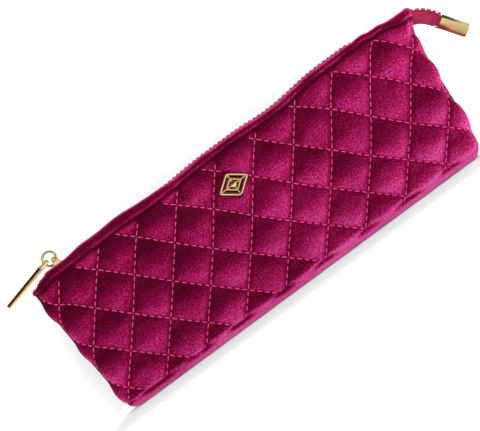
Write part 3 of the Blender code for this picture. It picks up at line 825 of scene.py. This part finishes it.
def face_stitching(side):
    quilting = stitches("quilting_thread", quilt_lines(), side, CREASE_Z - 1.9, STITCH_RISE)
    finish_face(quilting, "thread", side)
    ends = [(end_line(CREASE_Z, end), CREASE_Z) for end in (-1, 1)]
    lip = stitches("lip_thread", [ends], side, LIP_HEIGHT, -LIP_THREAD_SINK)
    finish_face(lip, "thread", side, "topstitch")


# ---- base and ends
def end_strip_side(side):
    """One end, from the lip down and round to the base: core points and outward directions."""
    turns = np.concatenate([np.zeros(34), np.linspace(0, np.pi / 2, 9)[1:]])
    z = np.concatenate([np.linspace(LIP_HEIGHT - 3.0, EDGE_ROLL, 34), np.full(8, EDGE_ROLL)])
    core = np.stack([end_line(z, side) - side * EDGE_ROLL, z], -1)
    return core, np.stack([side * np.cos(turns), -np.sin(turns)], -1)


def end_strip_path(inset, steps=60):
    """Outline of the ends and base: points and outward directions, from left to right."""
    left, left_out = end_strip_side(-1)
    right, right_out = end_strip_side(1)
    base = np.linspace(left[-1], right[-1], steps + 2)[1:-1]
    directions = np.concatenate([left_out, np.tile((0.0, -1.0), (steps, 1)), right_out[::-1]])
    return np.concatenate([left, base, right[::-1]]) + directions * (EDGE_ROLL - inset), directions


def travel_along(points):
    """Distance travelled along a line, at each of its points."""
    return np.concatenate([[0], np.cumsum(np.linalg.norm(np.diff(points, axis=0), axis=1))])


def strip_sheet(name, inset, widen, puffed, slot, *nodes):
    """The U-shaped strip of the base and its two boxed ends."""
    path, directions = end_strip_path(inset)
    across = np.linspace(-1, 1, 15)
    half = half_depth(path[:, 1]) - EDGE_ROLL - END_TURN + widen
    width = half[:, None] * across[None, :]
    along = np.repeat(travel_along(path)[:, None], len(across), 1)
    puff = np.zeros(width.shape)
    if puffed:
        grid = abs(DOWN[1])
        rim = np.abs(across) ** 6
        puff = 1.9 * pillows((along + width) / grid, (along - width) / grid) - QUILT_SINK
        puff = puff * (1 - rim) - 1.3 * rim
    x = path[:, 0, None] + directions[:, 0, None] * puff
    z = path[:, 1, None] + directions[:, 1, None] * puff
    z = np.maximum(z + crest_lift(x) * smooth((z - 30) / 38), 0.05 + (0.0 if puffed else inset))
    obj = make_piece(name, np.stack([x, width, z], -1), grid_faces(*width.shape))
    store_vectors(obj, "cloth", (along, width, 3.0))
    thicken(obj, CLOTH_THICKNESS if puffed else 0.4)
    subdivide(obj)
    finish_piece(obj, slot, "base", *nodes)


# ---- lining
def face_lining(side):
    """Satin inner face, with soft ripples, hung inside the quilted one."""
    x, z = np.meshgrid(np.linspace(-TOP_LEFT - 4, TOP_RIGHT + 4, 130), np.linspace(-4, 75.0, 44))
    ripple = 0.25 * np.sin(x * 0.21 + 1.3 * side) * np.sin(z * 0.13 + 0.4) * smooth((70 - z) / 20)
    points = to_world(offset_form(x, z, -LINING_INSET + ripple), side)
    points[..., 2] = np.maximum(points[..., 2], 3.4)
    keep = edge_distance(x, z) < EDGE_ROLL * np.pi / 2
    faces = grid_faces(*x.shape, keep=keep.ravel(), flip=side == BACK)
    obj = make_piece(f"{FACE_WORD[side]}_satin_lining", points, faces)
    store_vectors(obj, "cloth", (x, z, 0.0))
    drop_loose(obj)
    thicken(obj, 0.35)
    finish_face(obj, "lining", side, "lining")


# ---- zip
TAPE_SECTION = ((0.95, 0.1), (1.8, 0.1), (2.7, 0.0), (3.4, -0.3), (4.0, -0.8), (4.5, -1.6), (4.8, -2.8),
                (5.0, -4.6), (5.1, -6.8), (5.2, TAPE_LOW[2] - TEETH_Z))


def zip_tape(side):
    """Woven tape: a web beside the teeth that rolls down inside the lip, with slanted ends."""
    section = np.array(TAPE_SECTION)
    x = np.linspace(TAPE_LOW[0], TAPE_HIGH[0], 170)
    slant = -0.9 * section[:, 1:]
    grid_x = np.clip(x[None, :], TAPE_LOW[0] + slant, TAPE_HIGH[0] - slant)
    z = TEETH_Z + section[:, 1:] + crest_lift(grid_x)
    points = np.stack(np.broadcast_arrays(grid_x, side * section[:, :1], z), -1)
    faces = grid_faces(*grid_x.shape, flip=side == FRONT)
    obj = make_piece(f"{FACE_WORD[side]}_woven_tape", points, faces)
    store_vectors(obj, "cloth", (grid_x, travel_along(section)[:, None], 0.0))
    thicken(obj, 0.45, 0.0)
    subdivide(obj)
    finish_face(obj, "zip_tape", side, "zip_tape")


def rounded_boxes(boxes, offset, profile=0.5):
    """Points and faces of boxes, each given by its middle and size, with rounded edges."""
    shape = bmesh.new()
    for middle, size in boxes:
        matrix = Matrix.LocRotScale(Vector(middle), None, Vector(size))
        bmesh.ops.create_cube(shape, size=1.0, matrix=matrix)
    bmesh.ops.bevel(shape, geom=shape.edges[:], offset=offset, segments=3, affect="EDGES",
                    profile=profile, clamp_overlap=True)
    points = np.array([v.co for v in shape.verts])
    faces = [[v.index for v in f.verts] for f in shape.faces]
    shape.free()
    return points, faces


def tooth(reach, head, tip, root, height):
    """One moulded tooth: a wide head clamped on the tape and a narrow tip past the middle."""
    head_height = height if head > tip else height * 0.8
    boxes = (((0, (0.75 + root) / 2, 0), (head, root - 0.75, head_height)),
             ((0, (1.0 - reach) / 2, 0), (tip, 1.0 + reach, height * 0.8)))
    return rounded_boxes(boxes, 0.40)


def tooth_row(side):
    """Interlocking teeth; the back row is half a pitch on from the front row."""
    points, faces = tooth(0.45, 1.55, 0.92, 2.35, 1.75)
    late, drop = (1.0, 0.0) if side == FRONT else (0.5, BACK_TEETH_DROP)
    spots = np.arange(TEETH_LOW[0] + late * TOOTH_PITCH, TEETH_HIGH[0], TOOTH_PITCH)
    teeth = [points * (1, side, 1) + (x, 0, TEETH_Z + crest_lift(x) - drop) for x in spots]
    faces = repeat_faces(faces, len(points), len(teeth), side == FRONT)
    finish_face(make_piece(f"{FACE_WORD[side]}_tooth_row", teeth, faces), "zip_teeth", side, "zip_teeth")


def top_stop(side):
    """Metal block on the tape's edge, past the closed slider."""
    low, high = node_box(f"{FACE_WORD[side]}_top_stop")
    box = rounded_boxes([((low + high) / 2, high - low)], 0.35, 0.6)
    obj = make_piece(f"{FACE_WORD[side]}_metal_stop", *box)
    finish_face(obj, "pale_gold", side, "top_stop")


# ---- solids from outlines
def arc(u, v, wide, high, start, end, count):
    """Points of an elliptic arc about (u, v); start and end are in quarter turns."""
    turns = np.linspace(start, end, count) * np.pi / 2
    return [(u + wide * math.cos(t), v + high * math.sin(t)) for t in turns]


def prism(outline, low, high, axes, bevel, segments=3):
    """A closed outline pulled from low to high; axes places (u, v, w) into (x, y, z)."""
    count = len(outline)
    points = []
    for depth in (low, high):
        for u, v in outline:
            local = (u, v, depth)
            points.append([local[axes.index(axis)] for axis in "xyz"])
    faces = [list(range(count))[::-1], list(range(count, 2 * count))]
    for k in range(count):
        following = (k + 1) % count
        faces.append([k, following, count + following, count + k])
    obj = make_piece("part", points, faces)
    shape = bmesh.new()
    shape.from_mesh(obj.data)
    bmesh.ops.recalc_face_normals(shape, faces=shape.faces)
    shape.to_mesh(obj.data)
    shape.free()
    modify(obj, "BEVEL", width=bevel * MM, segments=segments, limit_method="ANGLE", harden_normals=False)
    shade(obj)
    return obj


def joined(name, objects):
    """One object in the place of several."""
    shape = bmesh.new()
    for obj in objects:
        shape.from_mesh(obj.data)
        bpy.data.objects.remove(obj, do_unlink=True)
    mesh = bpy.data.meshes.new(name)
    shape.to_mesh(mesh)
    shape.free()
    result = add_object(name, mesh)
    shade(result)
    return result


# ---- slider, ring and bar
PLATE_THICKNESS = 0.9
LUG_INSIDE, LUG_OUTSIDE = 0.95, 1.6
PIN_RADIUS = 0.6
BAR_DROOP = math.radians(14.4)
BAR_LENGTH = 29.6
BAR_HALF_HEIGHT = 1.1
SHAFT_HALF_HEIGHT = 1.45
BAR_HALF_WIDTH = 1.6
FORK_INSIDE = 0.92
FORK_DEPTH = 3.9


def slider():
    """Two flanged plates held by a wedge post, with two lugs for the ring's pin."""
    nose, rear = SLIDER_LOW[0], SLIDER_HIGH[0]
    low, top = SLIDER_LOW[2], TEETH_Z + 1.6
    plate = arc(nose + 3.4, 0, 3.4, 3.8, 1, 3, 13) + arc(rear - 1.6, 0, 1.6, 3.2, -1, 1, 9)
    post = [(nose + u, v) for u, v in ((0.6, -0.3), (1.6, -0.3), (2.4, 0.0), (1.6, 0.3), (0.6, 0.3))]
    pieces = [prism(plate, top, top + PLATE_THICKNESS, "xyz", 0.3),
              prism(plate, low, low + PLATE_THICKNESS, "xyz", 0.3),
              prism(post, low + 0.5, top + 0.4, "xyz", 0.1)]
    pin = joint_place("ring_swing")
    lug = [(pin[0] - 2.1, top + 0.4), (pin[0] + 2.1, top + 0.4), *arc(pin[0], pin[2], 1.2, 1.2, 0, 2, 11)]
    for side in (-1, 1):
        flange = [(nose + 4.2, side * 2.95), (rear - 1.4, side * 2.55), (rear - 1.4, side * 3.15),
                  (nose + 4.2, side * 3.7)]
        pieces += [prism(flange, TEETH_Z + 0.65, top + 0.5, "xyz", 0.15),
                   prism(flange, low + 0.4, TEETH_Z - 0.65, "xyz", 0.15),
                   prism(lug, *sorted((side * LUG_INSIDE, side * LUG_OUTSIDE)), "xzy", 0.18)]
    finish_piece(joined("slider_casting", pieces), "pale_gold", "slider", "slider_body")


def cross_pin(name, joint, half_length, body, node):
    """A turned pin along y with slightly domed heads."""
    centre = joint_place(joint)
    y = np.array([-1.0, -0.985, -0.9, -0.86, 0.86, 0.9, 0.985, 1.0]) * half_length
    radii = PIN_RADIUS * np.array([0.55, 0.95, 1.12, 1.0, 1.0, 1.12, 0.95, 0.55])
    path = [(centre[0], spot, centre[2]) for spot in y]
    obj = make_piece(name, tube_points(path, radii, 20), tube_faces(8, 20))
    shade(obj)
    finish_piece(obj, "pale_gold", body, node)


def loop_tube(points, radius, sides):
    """A closed tube through points that all have the same y."""
    points = np.asarray(points, float)
    tangents = np.roll(points, -1, 0) - np.roll(points, 1, 0)
    tangents /= np.linalg.norm(tangents, axis=1, keepdims=True)
    along_y = np.array((0.0, 1.0, 0.0))
    outward = np.cross(along_y, tangents)
    turns = 2 * np.pi * np.arange(sides)[:, None] / sides
    around = np.cos(turns) * outward[:, None] + np.sin(turns) * along_y
    return points[:, None] + around * radius, tube_faces(len(points), sides, closed=True)


def pull_ring():
    low, high = node_box("pull_ring")
    centre = (low + high) / 2
    wire = (high[1] - low[1]) / 2
    radius = (high[0] - low[0]) / 2 - wire
    circle = [centre + (x, 0.0, z) for x, z in arc(0, 0, radius, radius, 0, 4, 65)[:-1]]
    finish_piece(make_piece("wire_ring", *loop_tube(circle, wire, 16)), "pale_gold", "ring", "pull_ring")


def pull_bar():
    """Forked head on a bar whose two upper edges are cut to broad chamfers."""
    cheek = arc(0, 0, BAR_HALF_HEIGHT, BAR_HALF_HEIGHT, -1, 1, 11)
    cheek += [(-FORK_DEPTH - 0.6, BAR_HALF_HEIGHT), (-FORK_DEPTH - 0.6, -BAR_HALF_HEIGHT)]
    half, wide = SHAFT_HALF_HEIGHT, BAR_HALF_WIDTH
    section = [(-wide, -half), (wide, -half), (wide, 0.1), (wide * 0.3, half), (-wide * 0.3, half),
               (-wide, 0.1)]
    pieces = [prism(section, -BAR_LENGTH, -FORK_DEPTH, "yzx", 0.16)]
    for side in (-1, 1):
        pieces.append(prism(cheek, *sorted((side * FORK_INSIDE, side * wide)), "xzy", 0.16))
    bar = joined("gold_pull_bar", pieces)
    place = Matrix.Translation(Vector(joint_place("bar_swing") * MM))
    bar.data.transform(place @ Matrix.Rotation(-BAR_DROOP, 4, "Y"))
    finish_piece(bar, "pale_gold", "bar", "pull_bar")


# ---- emblem
EMBLEM_WIRE = 0.78
BEAD_RADIUS = 1.75


def lozenge(width, height, corner=0.16, per_corner=7, per_side=8):
    """Points round a lozenge whose corners are small arcs."""
    corners = np.array([(width, 0, 0), (0, 0, height), (-width, 0, 0), (0, 0, -height)], float)
    points = []
    for index in range(4):
        before, here, after = corners[index - 1], corners[index], corners[(index + 1) % 4]
        start, end = lerp(here, before, corner), lerp(here, after, corner)
        for t in np.linspace(0, 1, per_corner):
            points.append((1 - t) ** 2 * start + 2 * t * (1 - t) * here + t ** 2 * end)
        following = lerp(after, here, corner)
        for t in np.linspace(0, 1, per_side + 2)[1:-1]:
            points.append(lerp(end, following, t))
    return points


def emblem():
    """Plain open lozenge in a lozenge, with four arms and a bead, leaning with the cloth."""
    centre = (EMBLEM_LOW + EMBLEM_HIGH) / 2
    size = (EMBLEM_HIGH - EMBLEM_LOW) / 2
    width, height = size[0] - EMBLEM_WIRE, size[2] - EMBLEM_WIRE
    parts = [loop_tube(lozenge(width, height), EMBLEM_WIRE, 12),
             loop_tube(lozenge(size[0] * 0.48, size[2] * 0.48), EMBLEM_WIRE * 0.8, 12)]
    for arm in ((width, 0, 0), (-width, 0, 0), (0, 0, height), (0, 0, -height)):
        path = np.linspace((0, 0, 0), arm, 6)
        parts.append((tube_points(path, EMBLEM_WIRE * 0.62, 10), tube_faces(6, 10)))
    objects = [make_piece("part", points, faces) for points, faces in parts]
    bead = bmesh.new()
    bmesh.ops.create_uvsphere(bead, u_segments=32, v_segments=16, radius=BEAD_RADIUS * MM,
                              matrix=Matrix.Diagonal((1, 0.62, 1, 1)))
    mesh = bpy.data.meshes.new("bead")
    bead.to_mesh(mesh)
    bead.free()
    objects.append(add_object("bead", mesh))
    obj = joined("gold_lozenge_emblem", objects)
    lean = math.atan((half_depth(centre[2] + 1) - half_depth(centre[2] - 1)) / 2)
    place = Matrix.Translation(Vector((centre[0], -half_depth(centre[2]) - 1.0, centre[2])) * MM)
    obj.data.transform(place @ Matrix.Rotation(lean, 4, "X"))
    finish_piece(obj, "pale_gold", "front_face", "emblem")


# ---- tail
TAIL_THICKNESS = 1.7
TAIL_END = 19.0
TAIL_TOOTH_PITCH = 2.45
TAIL_INSIDE = 8.5
TAIL_ROOT_DIRECTION = math.radians(-14)
CAP_DIRECTION = math.radians(-55)
CAP_TWIST = math.radians(38)
CAP_LENGTH = 15.0
CAP_HALF = 3.25
CAP_LOW, CAP_HIGH = node_box("end_cap")
CAP_START = 9.9


def tail_direction(distance):
    share = smooth((distance + TAIL_INSIDE) / (CAP_START - 1.9 + TAIL_INSIDE))
    angle = lerp(TAIL_ROOT_DIRECTION, CAP_DIRECTION, float(share))
    return np.array([math.cos(angle), math.sin(angle)])


def tail_line(distance):
    """Middle line of the tail, worked back from the cap; distance 0 is at the flex axis."""
    spot = (CAP_LOW + CAP_HIGH)[[0, 2]] / 2 - tail_direction(CAP_START) * CAP_LENGTH / 2
    steps = np.linspace(distance, CAP_START, 40)
    middles = (steps[1:] + steps[:-1]) / 2
    for middle in middles:
        spot = spot - tail_direction(middle) * (steps[1] - steps[0])
    return spot, tail_direction(distance)


def tail_half(distance):
    return 3.6 - 0.75 * float(smooth((distance - 7.5) / 3.0))


def tail_spot(distance, across, depth):
    """A point of the twisting tail: along it, up across it and out of its face."""
    middle, direction = tail_line(distance)
    normal = np.array([-direction[1], direction[0]])
    twist = CAP_TWIST * float(smooth((distance - 1.0) / (CAP_START - 1.0)))
    spot = middle + normal * (across * math.cos(twist) + depth * math.sin(twist))
    return spot[0], depth * math.cos(twist) - across * math.sin(twist), spot[1]


def finish_tail(obj, slot, node):
    """Dress a piece of the soft tail, bake its place and hide its CAD node."""
    dress(obj, slot)
    pivot = Vector(joint_place("tail_flex") * MM)
    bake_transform(obj)
    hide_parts(node)


def tail_tape():
    """Folded woven tape with a softly cupped face, turning a little before the cap."""
    around = []
    for turn in -2 * np.pi * np.arange(28) / 28:
        across = math.cos(turn)
        thick = math.copysign(abs(math.sin(turn)) ** 0.75, math.sin(turn))
        around.append((across, thick * TAIL_THICKNESS / 2 * (1 - 0.18 * across * across)))
    distances = np.linspace(-TAIL_INSIDE + 0.5, TAIL_END, 48)
    vertices, cloth = [], []
    for distance in distances:
        half = tail_half(distance)
        ripple = 0.12 * math.sin(distance * 0.8)
        for across, thick in around:
            vertices.append(tail_spot(distance, across * half, thick + ripple))
            cloth.append((distance, across * half, 0.0))
    obj = make_piece("folded_tail_tape", vertices, tube_faces(len(distances), len(around)))
    store_vectors(obj, "cloth", np.transpose(cloth))
    subdivide(obj)
    finish_tail(obj, "zip_tape", "tail_tape")


def tail_teeth():
    """The last closed teeth along the folded tape's upper edge."""
    points, faces = tooth(2.2, 1.7, 1.7, 2.2, 1.3)
    spots = np.arange(-6.4, CAP_START - 0.6, TAIL_TOOTH_PITCH)
    vertices = []
    for distance in spots:
        for x, y, z in points * (1.0, 0.62, 1.0):
            vertices.append(tail_spot(distance + x, tail_half(distance) + 0.15 + z, y))
    obj = make_piece("tail_tooth_row", vertices, repeat_faces(faces, len(points), len(spots), False))
    finish_tail(obj, "zip_teeth", "tail_teeth")


def end_cap():
    """Clamped metal cap: a folded box with a chamfered far corner and a small prong."""
    half, thick = CAP_HALF, (CAP_HIGH[1] - CAP_LOW[1]) / 2
    box = [(0, half), (CAP_LENGTH - 1.2, half), (CAP_LENGTH - 0.3, half - 0.4), (CAP_LENGTH, half - 1.3),
           (CAP_LENGTH, -half + 0.5), (CAP_LENGTH - 0.5, -half), (0, -half)]
    prong = [(-1.7, -half + 0.9), (1.4, -half + 0.9), (1.4, -half - 0.55), (-0.9, -half - 0.45)]
    cap = joined("gold_end_cap", [prism(box, -thick, thick, "xzy", 0.35, 4),
                                  prism(prong, -thick * 0.6, thick * 0.6, "xzy", 0.15)])
    middle, direction = tail_line(CAP_START)
    place = Matrix.Translation(Vector((middle[0], 0.0, middle[1])) * MM)
    turn = Matrix.Rotation(-math.atan2(direction[1], direction[0]), 4, "Y")
    cap.data.transform(place @ turn @ Matrix.Rotation(CAP_TWIST, 4, "X"))
    finish_piece(cap, "pale_gold", "tail", "end_cap")


# ---- stage
VIEW_CENTRE = Vector((-7.6, 0.0, 46.7)) * MM
VIEW_TILT = math.radians(36.4)
VIEW_UP = Vector((math.sin(VIEW_TILT), 0.0, math.cos(VIEW_TILT)))
VIEW_WIDTH = 239.0 * MM
VIEW_PLANE = 5.0 * MM
LENS = 85.0
SENSOR = 36.0
CARD_GAP = 34.0
PAPER_SIZE = 3.0
FRONT_VIEW = 0.94
LIGHTS = (
    ("key", (0.35, -0.80, 0.90), 0.5, 4.5),
    ("front", (0.36, -1.50, 0.16), 0.25, 6.5),
    ("fill", (-0.70, -0.90, 0.25), 0.8, 2.0),
    ("top", (0.10, 0.62, 0.78), 0.5, 7.0),
    ("rear", (0.20, 0.95, 0.45), 0.8, 6.0),
)
ROOM_SHADES = ((0.0, 0.62), (0.50, 0.66), (0.57, 0.25), (0.64, 1.20), (0.70, 0.10), (1.0, 0.02))


def camera():
    data = bpy.data.cameras.new("camera")
    assign(data, {"lens": LENS, "sensor_width": SENSOR, "clip_start": 0.01})
    obj = add_object("camera", data)
    back = Vector((0.0, -1.0, 0.0))
    rotation = Matrix((VIEW_UP.cross(back), VIEW_UP, back)).transposed()
    place = VIEW_CENTRE + back * (VIEW_WIDTH * LENS / SENSOR + VIEW_PLANE)
    obj.matrix_world = Matrix.Translation(place) @ rotation.to_4x4()
    bpy.context.scene.camera = obj


def lights():
    """Square soft lights, all turned to the bag's middle and not mirrored in the metal."""
    for name, place, size, power in LIGHTS:
        data = bpy.data.lights.new(name, "AREA")
        assign(data, {"energy": power, "shape": "RECTANGLE", "size": size, "size_y": size})
        obj = add_object(name, data)
        obj.location = place
        aim = Vector((0.0, 0.0, LIP_HEIGHT * MM / 2)) - Vector(place)
        obj.rotation_euler = aim.to_track_quat("-Z", "Y").to_euler()
        obj.visible_glossy = False


def world():
    """White to the camera, even for cloth; metal sees a room that is bright below, dark above."""
    studio = bpy.data.worlds.new("studio")
    bpy.context.scene.world = studio
    nodes = Nodes(studio, "Background")
    height = nodes.split(nodes.add("TexCoord", output="Generated"))[2]
    shades = [(at, (grey, grey, grey)) for at, grey in ROOM_SHADES]
    room = nodes.ramp(nodes.math("MULTIPLY_ADD", height, 0.5, 0.5), shades)
    light = nodes.mix(nodes.ray("Glossy"), (0.52, 0.52, 0.52, 1.0), room)
    nodes.set(Color=nodes.mix(nodes.ray("Camera"), light, (1.0, 1.0, 1.0, 1.0)))


def paper(name, grey, glow):
    """White paper that glows, the more so away from the bag, so that no horizon shows."""
    nodes = new_material(name)
    away = nodes.add("VectorMath", {0: nodes.geometry("Position")}, "Value", operation="LENGTH")
    reach = {"Value": away, "From Min": 0.22, "From Max": 0.60, "To Min": glow, "To Max": 1.0}
    nodes.set(Base_Color=(grey, grey, grey, 1.0), Roughness=0.95, Specular_IOR_Level=0.0,
              Emission_Color=(1.0, 1.0, 1.0, 1.0), Emission_Strength=nodes.add("MapRange", reach))
    return nodes


def front_only(nodes):
    """Show the card only to a camera that looks at the bag's front."""
    facing = nodes.dot(nodes.geometry("Incoming"), (0.0, -1.0, 0.0))
    solid = nodes.ray("Camera") * nodes.math("GREATER_THAN", facing, FRONT_VIEW)
    clear = nodes.add("BsdfTransparent")
    mixed = nodes.add("MixShader", {0: solid, 1: clear, 2: Value(nodes, nodes.shader.outputs[0])})
    nodes.feed(nodes.tree.nodes["Material Output"].inputs["Surface"], mixed)


def stage():
    """A white floor, and a white card behind the open bag that takes its soft shadow."""
    far = PAPER_SIZE
    back = (BASE_DEPTH + CARD_GAP) * MM
    floor = [(-far, -far, 0), (far, -far, 0), (far, far, 0), (-far, far, 0)]
    card = [(-far, back, 0), (far, back, 0), (far, back, far), (-far, back, far)]
    for name, grey, glow, corners in (("floor", 0.85, 0.24, floor), ("card", 0.80, 0.17, card)):
        mesh = bpy.data.meshes.new(name)
        mesh.from_pydata(corners, [], [(0, 1, 2, 3)])
        nodes = paper(f"{name}_paper", grey, glow)
        if name == "card":
            front_only(nodes)
        mesh.materials.append(nodes.owner)
        add_object(name, mesh)


# ---- build
column, row = lattice()
puffs = simulate_puffs(column, row)
puffs = relax(puffs, seam_mask(column, row))
column, row, puffs = finer(column), finer(row), finer(puffs)
for face in (FRONT, BACK):
    quilted_face(face, puffs, column, row)
    face_stitching(face)
    face_lining(face)
    zip_tape(face)
    tooth_row(face)
    top_stop(face)
strip_sheet("base_quilted_velvet", 0.35, -0.1, True, "fuchsia_velvet", "base_velvet", "base_batting")
strip_sheet("base_satin_lining", LINING_INSET, 0.4, False, "lining", "base_lining")
slider()
cross_pin("slider_cross_pin", "ring_swing", 1.8, "slider", "slider_pin")
pull_ring()
pull_bar()
cross_pin("bar_cross_pin", "bar_swing", 1.75, "bar", "bar_pin")
emblem()
tail_tape()
tail_teeth()
end_cap()
for node in ("emblem_backing", "zip_bottom_stop"):
    dress(frame["nodes"][node], "nickel_steel")
camera()
lights()
world()
stage()
bpy.context.scene.view_settings.view_transform = "Standard"
